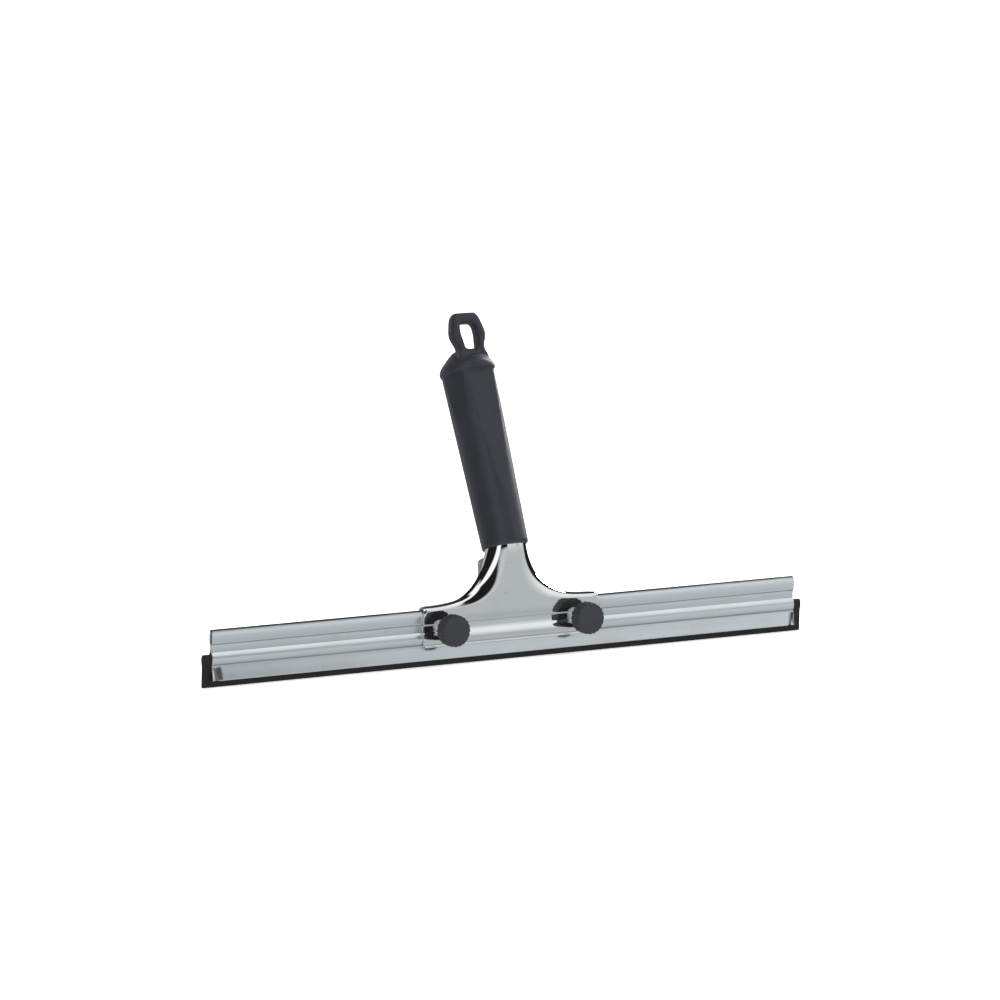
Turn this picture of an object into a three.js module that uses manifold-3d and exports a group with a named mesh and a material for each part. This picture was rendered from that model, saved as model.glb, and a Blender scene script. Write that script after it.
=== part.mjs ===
// Window cleaning squeegee: a rubber blade in a folded steel channel, clamped between two pressed
// jaws by two knob screws, on a raked grip with a hanging eye. Millimetres, +Z up.
// The origin is the middle of the blade's wiping edge. The knobs face -Y and the grip leans to +Y.
import * as THREE from "three";
import { mergeVertices } from "three/addons/utils/BufferGeometryUtils.js";
import Module from "manifold-3d";

const wasm = await Module();
wasm.setup();
const radians = THREE.MathUtils.degToRad;

// ---- driving dimensions ----------------------------------------------------
const BLADE_LENGTH = 450;
const BLADE_HEIGHT = 20.8;
const BLADE_HALF_THICK = 1.05;
const BLADE_PROUD = 5.5; // rubber past each end of the channel
const LIP_HEIGHT = 3.9; // channel lip above the wiping edge
const CHANNEL_HEIGHT = 32.5;
const SHEET = 0.7;
const FIT = 0.3; // air between pieces that touch
const JAW_HALF_WIDTH = 66;
const JAW_SHEET = 1.3;
const SCREW_SPACING = 101;
const SCREW_R = 2.5;
const SCREW_CLEARANCE = 0.45;
const CHANNEL_TRAVEL = 8; // each way, in the channel's slots
const COLLAR_R = 3.5;
const COLLAR_LENGTH = 6;
const KNOB_R = 10.2;
const KNOB_THICK = 8.2;
const KNOB_LOBES = 20;
const KNOB_LOBE_DEPTH = 0.45;
const NUT_WIDTH = 9;
const NUT_THICK = 4;
const LEAN = radians(25);
const MOUTH_Y = 5.7;
const MOUTH_Z = 70.5;
const MOUTH_R = 15.1;
const GRIP_R = 17.2;
const GRIP_LENGTH = 115;
const BULGE_R = 18.2;
const FLAT_FRONT = 13.8;
const FLAT_SIDE = 15.3;
const FLAT_CORNER = 16.8;
const EYE_HALF_WIDTH = 12.4;
const EYE_THICK = 9;
const EYE_OFFSET = 8.5; // eye's middle plane in front of the grip's axis
const EYE_TOP = 154;
const EYE_HOLE_HALF_WIDTH = 6;
const TANG_OFFSET = 10.5;
const TANG_END = 34;
const CORE_R = 8.4;
const RIVET_R = 1.9;

// ---- sizes that follow -----------------------------------------------------
const CHANNEL_HALF = BLADE_LENGTH / 2 - BLADE_PROUD;
const TOP = LIP_HEIGHT + CHANNEL_HEIGHT;
const SCREW_Z = TOP - 12;
const SCREW_X = SCREW_SPACING / 2;
const HOLE_R = SCREW_R + SCREW_CLEARANCE;

// Half thickness of the folded channel against depth below its top.
const PROFILE = [
  [0.0, 0.45],
  [0.25, 1.05],
  [0.8, 1.55],
  [2.0, 1.95],
  [4.4, 2.1],
  [7.4, 2.0],
  [8.8, 1.75],
  [9.8, 0.95],
  [13.8, 0.95],
  [14.6, 1.35],
  [15.4, 2.1],
  [16.6, 2.65],
  [18.4, 2.85],
  [20.4, 2.6],
  [21.9, 2.05],
  [22.6, 1.95],
  [23.6, 2.1],
  [26.4, 2.8],
  [29.8, 3.55],
  [32.5, 4.0],
];

function lerpTable(table, x) {
  if (x <= table[0][0]) return table[0][1];
  for (let i = 1; i < table.length; i++) {
    const [x1, y1] = table[i];
    const [x0, y0] = table[i - 1];
    if (x <= x1) return y0 + ((y1 - y0) * (x - x0)) / (x1 - x0);
  }
  return table[table.length - 1][1];
}

function channelHalf(z) {
  return lerpTable(PROFILE, ((TOP - z) * 32.5) / CHANNEL_HEIGHT);
}

// ---- helpers: triangles, solids and cuts -----------------------------------
function toSolid(geometry) {
  const bare = geometry.clone();
  bare.deleteAttribute("normal");
  bare.deleteAttribute("uv");
  const merged = mergeVertices(bare, 1e-4);
  return new wasm.Manifold(
    new wasm.Mesh({
      numProp: 3,
      vertProperties: new Float32Array(merged.attributes.position.array),
      triVerts: new Uint32Array(merged.index.array),
    }),
  );
}

function toGeometry(solid) {
  const mesh = solid.getMesh();
  const geometry = new THREE.BufferGeometry();
  geometry.setAttribute("position", new THREE.BufferAttribute(mesh.vertProperties, 3));
  geometry.setIndex(new THREE.BufferAttribute(mesh.triVerts, 1));
  geometry.computeVertexNormals();
  return geometry;
}

function cutAll(solid, cutters) {
  return cutters.reduce((left, cutter) => left.subtract(cutter), solid);
}

// A closed shell between an outer and an inner grid of the same size (rows of points).
function shellGeometry(outer, inner) {
  const rows = outer.length;
  const cols = outer[0].length;
  const positions = [...outer.flat(), ...inner.flat()].flat();
  const at = (layer, i, j) => layer * rows * cols + i * cols + j;
  const index = [];
  const quad = (a, b, c, d) => index.push(a, b, c, a, c, d);
  for (let i = 0; i + 1 < rows; i++) {
    for (let j = 0; j + 1 < cols; j++) {
      quad(at(0, i, j), at(0, i, j + 1), at(0, i + 1, j + 1), at(0, i + 1, j));
      quad(at(1, i, j), at(1, i + 1, j), at(1, i + 1, j + 1), at(1, i, j + 1));
    }
    quad(at(0, i, 0), at(0, i + 1, 0), at(1, i + 1, 0), at(1, i, 0));
    const end = cols - 1;
    quad(at(0, i, end), at(1, i, end), at(1, i + 1, end), at(0, i + 1, end));
  }
  for (let j = 0; j + 1 < cols; j++) {
    quad(at(0, 0, j), at(1, 0, j), at(1, 0, j + 1), at(0, 0, j + 1));
    const end = rows - 1;
    quad(at(0, end, j), at(0, end, j + 1), at(1, end, j + 1), at(1, end, j));
  }
  const geometry = new THREE.BufferGeometry();
  geometry.setAttribute("position", new THREE.Float32BufferAttribute(positions, 3));
  geometry.setIndex(index);
  return geometry;
}

// Closed sections (loops of [y, z], one per station x) joined into a bar along X.
function loftGeometry(stations, sectionAt) {
  const positions = [];
  const index = [];
  const loops = stations.map(sectionAt);
  const n = loops[0].length;
  loops.forEach((loop, i) => loop.forEach(([y, z]) => positions.push(stations[i], y, z)));
  for (let i = 0; i + 1 < stations.length; i++) {
    for (let j = 0; j < n; j++) {
      const a = i * n + j;
      const b = i * n + ((j + 1) % n);
      index.push(a, b, b + n, a, b + n, a + n);
    }
  }
  const contour = loops[0].map(([y, z]) => new THREE.Vector2(y, z));
  const last = (stations.length - 1) * n;
  for (const [a, b, c] of THREE.ShapeUtils.triangulateShape(contour, [])) {
    index.push(a, c, b);
    index.push(last + a, last + b, last + c);
  }
  const geometry = new THREE.BufferGeometry();
  geometry.setAttribute("position", new THREE.Float32BufferAttribute(positions, 3));
  geometry.setIndex(index);
  return geometry;
}

// A turned solid about the Y axis of the tool (pieces that lie along the screws).
function turned(profile, segments) {
  const points = profile.map(([r, h]) => new THREE.Vector2(r, h));
  return new THREE.LatheGeometry(points, segments);
}

function cylinder(r, length, segments = 32) {
  return new THREE.CylinderGeometry(r, r, length, segments);
}

// ---- channel and blade -----------------------------------------------------
function channelSection(pinch) {
  const outer = PROFILE.map(([d, h]) => {
    const lip = Math.max(0, (d - 22.6) / 9.9);
    return [h - pinch * lip, TOP - (d * CHANNEL_HEIGHT) / 32.5];
  });
  const inner = outer.map(([h, z], i) => {
    const [h0, z0] = outer[Math.max(0, i - 1)];
    const [h1, z1] = outer[Math.min(outer.length - 1, i + 1)];
    const length = Math.hypot(h1 - h0, z1 - z0);
    const ny = (z0 - z1) / length;
    const nz = (h1 - h0) / length;
    const last = i === outer.length - 1;
    return [h - SHEET * ny, last ? z : z - SHEET * nz];
  });
  const inside = inner.filter(([, z]) => z < TOP - SHEET);
  const roof = [Math.max(0.1, inside[0][0] * 0.4), TOP - SHEET];
  const front = [...outer.map(([h, z]) => [-h, z])];
  const frontIn = [...inside.map(([h, z]) => [-Math.max(0.12, h), z])].reverse();
  const back = outer.map(([h, z]) => [h, z]).reverse();
  const backIn = inside.map(([h, z]) => [Math.max(0.12, h), z]);
  return [
    ...front,
    ...frontIn,
    [-roof[0], roof[1]],
    [roof[0], roof[1]],
    ...backIn,
    ...back,
  ];
}

function channelGeometry() {
  const end = CHANNEL_HALF;
  const pinches = [
    [end, 0.25],
    [end - 1.2, 0.5],
    [end - 2.4, 1.25],
    [end - 3.6, 1.25],
    [end - 5.0, 0.4],
    [end - 6.6, 0],
  ];
  const right = pinches.slice().reverse();
  const stations = [...pinches.map(([x]) => -x), ...right.map(([x]) => x)];
  const values = [...pinches, ...right].map(([, p]) => p);
  const bar = toSolid(loftGeometry(stations, (x) => channelSection(values[stations.indexOf(x)])));
  const slots = [-SCREW_X, SCREW_X].map((x) => slotCutter(x, CHANNEL_TRAVEL + 0.5));
  return toGeometry(cutAll(bar, slots));
}

function slotCutter(x, travel) {
  const shape = new THREE.Shape();
  shape.absarc(travel, 0, HOLE_R, -Math.PI / 2, Math.PI / 2, false);
  shape.absarc(-travel, 0, HOLE_R, Math.PI / 2, (3 * Math.PI) / 2, false);
  const slot = new THREE.ExtrudeGeometry(shape, {
    depth: 12,
    bevelEnabled: false,
    curveSegments: 10,
  });
  slot.translate(0, 0, -6);
  slot.rotateX(Math.PI / 2);
  slot.translate(x, 0, SCREW_Z);
  return toSolid(slot);
}

function bladeGeometry() {
  const t = BLADE_HALF_THICK;
  const neck = TOP - 22.3;
  const bead = Math.min(1.75, channelHalf(TOP - 18.4) - SHEET - FIT);
  const shape = new THREE.Shape();
  const half = [
    [t, 0],
    [t, neck - 1.2],
    [Math.min(t, 0.85), neck - 0.2],
    [Math.min(t, 0.85), neck + 0.6],
    [bead, neck + 2.0],
    [bead, BLADE_HEIGHT - 1.4],
    [0.75, BLADE_HEIGHT],
  ];
  const loop = [...half, ...half.map(([y, z]) => [-y, z]).reverse()];
  shape.setFromPoints(loop.map(([y, z]) => new THREE.Vector2(y, z)));
  const bar = new THREE.ExtrudeGeometry(shape, { depth: BLADE_LENGTH, bevelEnabled: false });
  bar.rotateX(Math.PI / 2);
  bar.rotateZ(Math.PI / 2);
  bar.translate(-BLADE_LENGTH / 2, 0, 0);
  return bar;
}

// ---- pressed jaws ----------------------------------------------------------
// A jaw is a sheet whose face follows y = spine(z), bounded by an outline (half width, z) whose
// edge rolls back through `angle` at radius `roll` and ends in a straight flange.
const INSIDE = 6;

function jawGrid(plan, depth) {
  const { stations, spine, slope, side, around } = plan;
  return stations.map((station) => {
    const { w, z, nx, nz, roll, angle, flange, bow } = station;
    const reach = roll * Math.sin(angle) + flange * Math.cos(angle);
    const qx = w + nx * reach;
    const qz = z + nz * reach;
    const half = [];
    for (let j = 0; j <= INSIDE; j++) {
      const s = j / INSIDE;
      half.push([qx * s, qz + bow * (1 - s * s), depth]);
    }
    for (let j = 1; j <= around; j++) {
      const a = (angle * j) / around;
      const out = (roll - depth) * Math.sin(a);
      half.push([qx - nx * out, qz - nz * out, roll - (roll - depth) * Math.cos(a)]);
    }
    const [x1, z1, d1] = half[half.length - 1];
    const out = flange * Math.cos(angle);
    half.push([x1 - nx * out, z1 - nz * out, d1 + flange * Math.sin(angle)]);
    const full = [...half.slice(1).map(([x, zz, d]) => [-x, zz, d]).reverse(), ...half];
    return full.map(([x, zz, d]) => {
      const a = slope(zz);
      const y = spine(zz) + d * Math.cos(a);
      return [x, side * y, zz - d * Math.sin(a)];
    });
  });
}

// Each row is [half width, z, roll radius, roll angle, flange, inward direction]. Directions are in
// degrees from -X towards -Z, and follow from the neighbouring rows where none is given.
function outlineStations(rows) {
  return rows.map((row, i) => {
    const [w0, z0] = rows[Math.max(0, i - 1)];
    const [w1, z1] = rows[Math.min(rows.length - 1, i + 1)];
    const [w, z, roll, angle, flange, given] = row;
    const heading = given === undefined ? Math.atan2(w0 - w1, z1 - z0) : radians(given);
    const nx = -Math.cos(heading);
    const nz = -Math.sin(heading);
    const bow = 0.04 * (JAW_HALF_WIDTH - w);
    return { w, z, nx, nz, roll, angle: radians(angle), flange, bow };
  });
}

function jawSolid(plan, grow = 0) {
  const face = jawGrid(plan, -grow);
  const back = jawGrid(plan, JAW_SHEET + grow);
  return toSolid(plan.side > 0 ? shellGeometry(face, back) : shellGeometry(back, face));
}

// The face of a jaw over the channel: its ribs repeat the channel's own profile.
function ribbedFace(z) {
  return channelHalf(Math.min(z, TOP - 4.4)) + FIT + JAW_SHEET;
}

const RIB_LEVELS = [24.2, 22.6, 20.4, 18.4, 16.6, 15.4, 14.4, 13.8, 9.8, 8.7, 7.4, 4.4];

// Front jaw: its face stands upright, then bends back over BEND to run up inside the grip.
const GRIP_AXIS = new THREE.Vector3(0, Math.sin(LEAN), Math.cos(LEAN));
const GRIP_FRONT = new THREE.Vector3(0, -Math.cos(LEAN), Math.sin(LEAN));
const FACE_Y = -ribbedFace(TOP);
const TANG_Y = MOUTH_Y + TANG_OFFSET * GRIP_FRONT.y;
const TANG_Z = MOUTH_Z + TANG_OFFSET * GRIP_FRONT.z;
const MEET_Z = TANG_Z + (FACE_Y - TANG_Y) / Math.tan(LEAN);
const BEND = 13;

function frontSlope(z) {
  return LEAN * THREE.MathUtils.clamp((z - MEET_Z + BEND / 2) / BEND, 0, 1);
}

function frontFace(z) {
  if (z < TOP) return -ribbedFace(z);
  const from = MEET_Z - BEND / 2;
  const along = THREE.MathUtils.clamp(z - from, 0, BEND);
  const bent = (-BEND / LEAN) * Math.log(Math.cos((LEAN * along) / BEND));
  const straight = Math.max(0, z - from - BEND);
  return FACE_Y + bent + straight * Math.tan(LEAN);
}

function frontJawPlan(grow = 0) {
  const W = JAW_HALF_WIDTH;
  const foot = RIB_LEVELS.map((d) => [W, TOP - d, 24, 6, 0.6]);
  const wing = [
    [W, TOP - 1.5, 24, 6, 0.6],
    [W, TOP + 0.3, 4, 40, 0.6, 30],
    [W - 0.8, TOP + 1.76, 3, 76, 0.6, 62],
    [W - 2.8, TOP + 2.1, 3, 90, 0.6, 90],
    [W - 7, TOP + 2.15, 3, 90, 0.6, 90],
    [W - 13, TOP + 2.35, 3, 90, 0.6, 90],
    [W - 19.5, TOP + 2.85, 3.2, 90, 0.6, 84],
    [W - 25.5, TOP + 3.9, 3.6, 90, 0.6],
    [W - 31.2, TOP + 5.9, 4, 90, 0.6],
    [W - 36.4, TOP + 8.9, 4.5, 90, 0.9],
    [W - 41.2, TOP + 12.9, 5, 90, 1.4],
    [W - 45.1, TOP + 17.7, 5.5, 90, 2.4],
    [W - 48, TOP + 23.1, 6, 90, 4],
    [W - 50.4, TOP + 28.6, 6.4, 90, 6.1],
    [W - 51.8, TOP + 33.7, 6.8, 90, 6.6],
    [W - 52.7, TOP + 38.6, 7, 90, 6.4],
    [W - 53.6, TOP + 43.4, 7, 90, 5],
    [W - 54.8, TOP + 48.4, 7, 90, 3.6],
    [W - 55.4, TOP + 53.6, 7, 90, 3],
    [W - 55.6, TOP + 59.5, 7, 90, 3],
    [W - 55.6, TANG_Z + TANG_END * GRIP_AXIS.z + grow, 7, 90, 3],
  ];
  const rows = [...foot, ...wing].map(([w, z, r, a, f, n]) => [w, z, r, a, f + grow, n]);
  const stations = outlineStations(rows);
  return { stations, spine: frontFace, slope: frontSlope, side: 1, around: 5 };
}

// Rear jaw: the same foot behind the channel, and a strap that leans back to the neck.
const STRAP_LEAN = radians(16);
const STRAP_FROM = TOP + 1;
const STRAP_TOP = TOP + 29.5;

function rearSlope(z) {
  const lean = THREE.MathUtils.clamp((z - STRAP_FROM) / 5, 0, 1);
  return -STRAP_LEAN * lean;
}

function rearFace(z) {
  if (z < STRAP_FROM) return -ribbedFace(z);
  const bend = Math.min(z - STRAP_FROM, 5);
  const straight = Math.max(0, z - STRAP_FROM - 5);
  const t = Math.tan(STRAP_LEAN);
  return FACE_Y - (t * bend * bend) / 10 - t * straight;
}

function rearJawPlan() {
  const W = JAW_HALF_WIDTH;
  const foot = RIB_LEVELS.map((d) => [W, TOP - d, 18, 6, 0.6]);
  const strap = [
    [W, TOP - 2, 14, 8, 0.6],
    [W - 0.2, TOP + 0.1, 14, 8, 0.6, 30],
    [W - 1.2, TOP + 1.3, 14, 8, 0.6, 60],
    [W - 3.4, TOP + 1.75, 14, 8, 0.6, 90],
    [W - 8, TOP + 1.85, 14, 8, 0.6, 90],
    [W - 14, TOP + 2.05, 14, 8, 0.6, 90],
    [W - 22, TOP + 2.7, 14, 8, 0.6, 82],
    [W - 29, TOP + 3.7, 12, 9, 0.6],
    [W - 35, TOP + 5.4, 10, 12, 0.6],
    [W - 40, TOP + 7.8, 8, 16, 0.6],
    [W - 43.6, TOP + 11, 6, 20, 0.6],
    [W - 45.8, TOP + 14.8, 6, 20, 0.6],
    [W - 46.7, TOP + 19, 6, 20, 0.6],
    [W - 46.9, STRAP_TOP - 5.4, 6, 20, 0.6],
    [W - 47.4, STRAP_TOP - 3.6, 5, 12, 0.3, 35],
    [W - 49, STRAP_TOP - 2.6, 4, 8, 0.3, 60],
    [W - 51.4, STRAP_TOP - 1.7, 4, 8, 0.3, 75],
    [W - 54, STRAP_TOP - 1, 4, 8, 0.3, 85],
  ];
  const stations = outlineStations([...foot, ...strap]);
  return { stations, spine: rearFace, slope: rearSlope, side: -1, around: 3 };
}

function screwHole(x) {
  const hole = cylinder(HOLE_R, 24, 28);
  hole.translate(x, 0, SCREW_Z);
  return toSolid(hole);
}

// ---- grip ------------------------------------------------------------------
// Built along Z with its front towards -Y, then leaned back and set on the mouth.
function placeOnGrip(geometry) {
  geometry.rotateX(-LEAN);
  geometry.translate(0, MOUTH_Y, MOUTH_Z);
  return geometry;
}

function turnedZ(profile, segments) {
  const geometry = turned(profile, segments);
  geometry.rotateX(Math.PI / 2);
  return geometry;
}

function gripBody() {
  const L = GRIP_LENGTH;
  const sleeve = turnedZ(
    [
      [0, 0],
      [MOUTH_R - 1.2, 0],
      [MOUTH_R - 0.3, 0.4],
      [MOUTH_R, 1.4],
      [GRIP_R, L - 2],
      [GRIP_R, L + 5],
      [0, L + 5],
    ],
    48,
  );
  const prism = flatsPrism(L + 6);
  const head = turnedZ(
    [
      [0, L - 5],
      [13, L - 5],
      [13, L + 4.4],
      [GRIP_R - 0.2, L + 0.4],
      [BULGE_R - 0.4, L + 1.8],
      [BULGE_R, L + 4],
      [BULGE_R - 0.1, L + 5.6],
      [BULGE_R - 0.9, L + 7.8],
      [BULGE_R - 2.5, L + 9.8],
      [BULGE_R - 5.1, L + 11.6],
      [BULGE_R - 8.8, L + 13],
      [0, L + 13.8],
    ],
    48,
  );
  return toSolid(sleeve).intersect(toSolid(prism)).add(toSolid(head)).add(toSolid(eyeTab()));
}

// Eight flats that fade out towards the round mouth.
function flatsPrism(height) {
  const angles = [0, 49, 90, 131, 180, 229, 270, 311].map(radians);
  const sizes = [0, 1, 2, 1, 0, 1, 2, 1].map((k) => [FLAT_FRONT, FLAT_CORNER, FLAT_SIDE][k]);
  const ring = (grow) => {
    return angles.map((a, i) => {
      const b = angles[(i + 1) % 8] + (i === 7 ? 2 * Math.PI : 0);
      const p = sizes[i] + grow;
      const q = sizes[(i + 1) % 8] + grow;
      const det = Math.sin(b - a);
      const x = (q * Math.cos(a) - p * Math.cos(b)) / det;
      const y = (p * Math.sin(b) - q * Math.sin(a)) / det;
      return [x, -y];
    });
  };
  const low = ring(3.2);
  const high = ring(0);
  const positions = [];
  low.forEach(([x, y]) => positions.push(x, y, -1));
  high.forEach(([x, y]) => positions.push(x, y, height));
  positions.push(0, 0, -1, 0, 0, height);
  const index = [];
  for (let i = 0; i < 8; i++) {
    const j = (i + 1) % 8;
    index.push(i, j, j + 8, i, j + 8, i + 8);
    index.push(16, j, i, 17, i + 8, j + 8);
  }
  const geometry = new THREE.BufferGeometry();
  geometry.setAttribute("position", new THREE.Float32BufferAttribute(positions, 3));
  geometry.setIndex(index);
  return geometry;
}

function eyeTab() {
  const w = EYE_HALF_WIDTH;
  const neck = w - 3;
  const bevel = 1.8;
  const shape = new THREE.Shape();
  shape.moveTo(-(w - 0.6) + bevel, 118);
  shape.lineTo(w - 0.6 - bevel, 118);
  shape.lineTo(w - 0.8 - bevel, 124);
  shape.quadraticCurveTo(neck - bevel, 126.5, neck - bevel, 130);
  shape.quadraticCurveTo(neck - bevel, 133, w - bevel, 139);
  shape.lineTo(w - bevel, 142);
  shape.lineTo(w - 3.4 - bevel, EYE_TOP - 3.4 - bevel / 2);
  shape.quadraticCurveTo(w - 4.2 - bevel, EYE_TOP - bevel, w - 6.4 - bevel, EYE_TOP - bevel);
  shape.lineTo(-(w - 6.4 - bevel), EYE_TOP - bevel);
  shape.quadraticCurveTo(-(w - 4.2 - bevel), EYE_TOP - bevel, -(w - 3.4 - bevel), EYE_TOP - 3.4 - bevel / 2);
  shape.lineTo(-(w - bevel), 142);
  shape.lineTo(-(w - bevel), 139);
  shape.quadraticCurveTo(-(neck - bevel), 133, -(neck - bevel), 130);
  shape.quadraticCurveTo(-(neck - bevel), 126.5, -(w - 0.8 - bevel), 124);
  const hole = new THREE.Path();
  const a = EYE_HOLE_HALF_WIDTH + bevel / 2;
  const b = a - 1;
  const low = 129.5;
  const high = EYE_TOP - 6.6;
  const corner = 3.8;
  hole.moveTo(-b + corner, low);
  hole.quadraticCurveTo(-b, low, -b - 0.2, low + corner);
  hole.lineTo(-a, high - corner);
  hole.quadraticCurveTo(-a, high, -a + corner, high);
  hole.lineTo(a - corner, high);
  hole.quadraticCurveTo(a, high, a, high - corner);
  hole.lineTo(b + 0.2, low + corner);
  hole.quadraticCurveTo(b, low, b - corner, low);
  shape.holes.push(hole);
  const tab = new THREE.ExtrudeGeometry(shape, {
    depth: EYE_THICK - 2 * bevel,
    bevelThickness: bevel,
    bevelSize: bevel,
    bevelSegments: 3,
    curveSegments: 6,
  });
  tab.rotateX(Math.PI / 2);
  tab.translate(0, -EYE_OFFSET + EYE_THICK / 2 - bevel, 0);
  return tab;
}

// ---- pieces of the handle --------------------------------------------------
const RIVETS = [13, 27];

function coreCylinder(r, from, to) {
  const bar = cylinder(r, to - from, 40);
  bar.rotateX(Math.PI / 2);
  bar.translate(0, 0, (from + to) / 2);
  return bar;
}

function crossHole(along, r) {
  const hole = cylinder(r, 60, 24);
  hole.translate(0, 0, along);
  return toSolid(placeOnGrip(hole));
}

function rivetGeometry(along) {
  const face = -TANG_OFFSET - FIT;
  const rivet = turned(
    [
      [0, face - 1.1],
      [1.8, face - 0.9],
      [3.2, face],
      [RIVET_R, face],
      [RIVET_R, CORE_R + 0.2],
      [2.8, CORE_R + 0.2],
      [2.2, CORE_R + 1],
      [0, CORE_R + 1.1],
    ],
    20,
  );
  rivet.translate(0, 0, along);
  return placeOnGrip(rivet);
}

function rivetPocket(along) {
  const pocket = cylinder(3.6, TANG_OFFSET + CORE_R + 3.2, 24);
  pocket.translate(0, (CORE_R - TANG_OFFSET) / 2, along);
  return toSolid(placeOnGrip(pocket));
}

function gripGeometry() {
  const body = toSolid(placeOnGrip(toGeometry(gripBody())));
  const core = toSolid(placeOnGrip(coreCylinder(CORE_R + FIT, 6 - FIT, GRIP_LENGTH - 7 + FIT)));
  const neck = jawSolid(frontJawPlan(FIT), FIT);
  return toGeometry(cutAll(body, [core, neck, ...RIVETS.map(rivetPocket)]));
}

function coreGeometry() {
  const bar = toSolid(placeOnGrip(coreCylinder(CORE_R, 6, GRIP_LENGTH - 7)));
  return toGeometry(cutAll(bar, RIVETS.map((t) => crossHole(t, RIVET_R + FIT))));
}

function frontJawGeometry() {
  const holes = [-SCREW_X, SCREW_X].map(screwHole);
  const rivets = RIVETS.map((t) => frontHole(t, RIVET_R + FIT));
  return toGeometry(cutAll(jawSolid(frontJawPlan()), [...holes, ...rivets]));
}

function frontHole(along, r) {
  const hole = cylinder(r, 12, 24);
  hole.translate(0, -TANG_OFFSET, along);
  return toSolid(placeOnGrip(hole));
}

function rearJawGeometry() {
  return toGeometry(cutAll(jawSolid(rearJawPlan()), [-SCREW_X, SCREW_X].map(screwHole)));
}

// ---- clamping screws -------------------------------------------------------
function ribCrest(reach) {
  const levels = [-1, -0.5, 0, 0.5, 1].map((k) => ribbedFace(SCREW_Z + k * reach));
  return Math.max(...levels);
}

const COLLAR_BACK = -(ribCrest(COLLAR_R) + FIT);
const KNOB_BACK = COLLAR_BACK - COLLAR_LENGTH - FIT;
const NUT_FRONT = ribCrest(NUT_WIDTH / 2) + FIT;
const HEAD_R = 4.4;
const HEAD_THICK = 3.6;
const SCREW_END = NUT_FRONT + NUT_THICK + 4.8;

function knobGeometry(x) {
  const shape = new THREE.Shape();
  const count = KNOB_LOBES * 6;
  for (let i = 0; i < count; i++) {
    const a = (2 * Math.PI * i) / count;
    const lobe = 0.5 + 0.5 * Math.cos(KNOB_LOBES * a);
    const r = KNOB_R - 0.8 - KNOB_LOBE_DEPTH * (1 - Math.sqrt(lobe));
    if (i === 0) shape.moveTo(r, 0);
    else shape.lineTo(r * Math.cos(a), r * Math.sin(a));
  }
  const bevel = 0.8;
  const disc = new THREE.ExtrudeGeometry(shape, {
    depth: KNOB_THICK - 2 * bevel,
    bevelThickness: bevel,
    bevelSize: bevel,
    bevelSegments: 2,
    curveSegments: 1,
  });
  disc.rotateX(Math.PI / 2);
  disc.translate(x, KNOB_BACK - bevel, SCREW_Z);
  const pocket = cylinder(HEAD_R + FIT, HEAD_THICK + 2 * FIT, 6);
  pocket.translate(x, KNOB_BACK - HEAD_THICK / 2, SCREW_Z);
  return toGeometry(toSolid(disc).subtract(toSolid(pocket)));
}

function screwGeometry(x) {
  const head = cylinder(HEAD_R, HEAD_THICK, 6);
  head.translate(x, KNOB_BACK - HEAD_THICK / 2, SCREW_Z);
  const from = KNOB_BACK - HEAD_THICK / 2;
  const shank = turned(
    [
      [0, from],
      [SCREW_R, from],
      [SCREW_R, SCREW_END - 0.6],
      [SCREW_R - 0.6, SCREW_END],
      [0, SCREW_END],
    ],
    28,
  );
  shank.translate(x, 0, SCREW_Z);
  return toGeometry(toSolid(head).add(toSolid(shank)));
}

function collarGeometry(x) {
  const from = COLLAR_BACK - COLLAR_LENGTH;
  const bore = SCREW_R + FIT;
  const collar = turned(
    [
      [bore, from],
      [COLLAR_R - 0.3, from],
      [COLLAR_R, from + 0.3],
      [COLLAR_R, COLLAR_BACK - 0.3],
      [COLLAR_R - 0.3, COLLAR_BACK],
      [bore, COLLAR_BACK],
      [bore, from],
    ],
    32,
  );
  collar.translate(x, 0, SCREW_Z);
  return collar;
}

function nutGeometry(x) {
  const block = new THREE.BoxGeometry(NUT_WIDTH, NUT_THICK, NUT_WIDTH);
  block.translate(x, NUT_FRONT + NUT_THICK / 2, SCREW_Z);
  const bore = cylinder(SCREW_R + FIT, 3 * NUT_THICK, 28);
  bore.translate(x, NUT_FRONT, SCREW_Z);
  return toGeometry(toSolid(block).subtract(toSolid(bore)));
}

// ---- assembly --------------------------------------------------------------
const finishes = {
  rubber: { color: 0x1c1c1d, roughness: 0.55, metalness: 0 },
  grip: { color: 0x33373b, roughness: 0.6, metalness: 0 },
  plastic: { color: 0x2c2d31, roughness: 0.5, metalness: 0 },
  zinc: { color: 0xb4bdc2, roughness: 0.35, metalness: 1 },
  chrome: { color: 0xd5d8da, roughness: 0.08, metalness: 1 },
  steel: { color: 0x9a9c9a, roughness: 0.3, metalness: 1 },
};

const group = new THREE.Group();

function addPart(name, finish, geometry) {
  const material = new THREE.MeshStandardMaterial(finishes[finish]);
  const mesh = new THREE.Mesh(geometry, material);
  mesh.name = name;
  group.add(mesh);
}

addPart("grip", "grip", gripGeometry());
addPart("handle_core", "plastic", coreGeometry());
addPart("front_jaw", "chrome", frontJawGeometry());
addPart("rear_jaw", "steel", rearJawGeometry());
addPart("rivet_lower", "steel", rivetGeometry(RIVETS[0]));
addPart("rivet_upper", "steel", rivetGeometry(RIVETS[1]));
addPart("channel", "zinc", channelGeometry());
addPart("blade", "rubber", bladeGeometry());
const sides = { left: -SCREW_X, right: SCREW_X };
for (const [side, x] of Object.entries(sides)) {
  addPart(`knob_${side}`, "plastic", knobGeometry(x));
  addPart(`screw_${side}`, "steel", screwGeometry(x));
  addPart(`collar_${side}`, "chrome", collarGeometry(x));
  addPart(`nut_${side}`, "steel", nutGeometry(x));
}

export default group;
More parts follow.
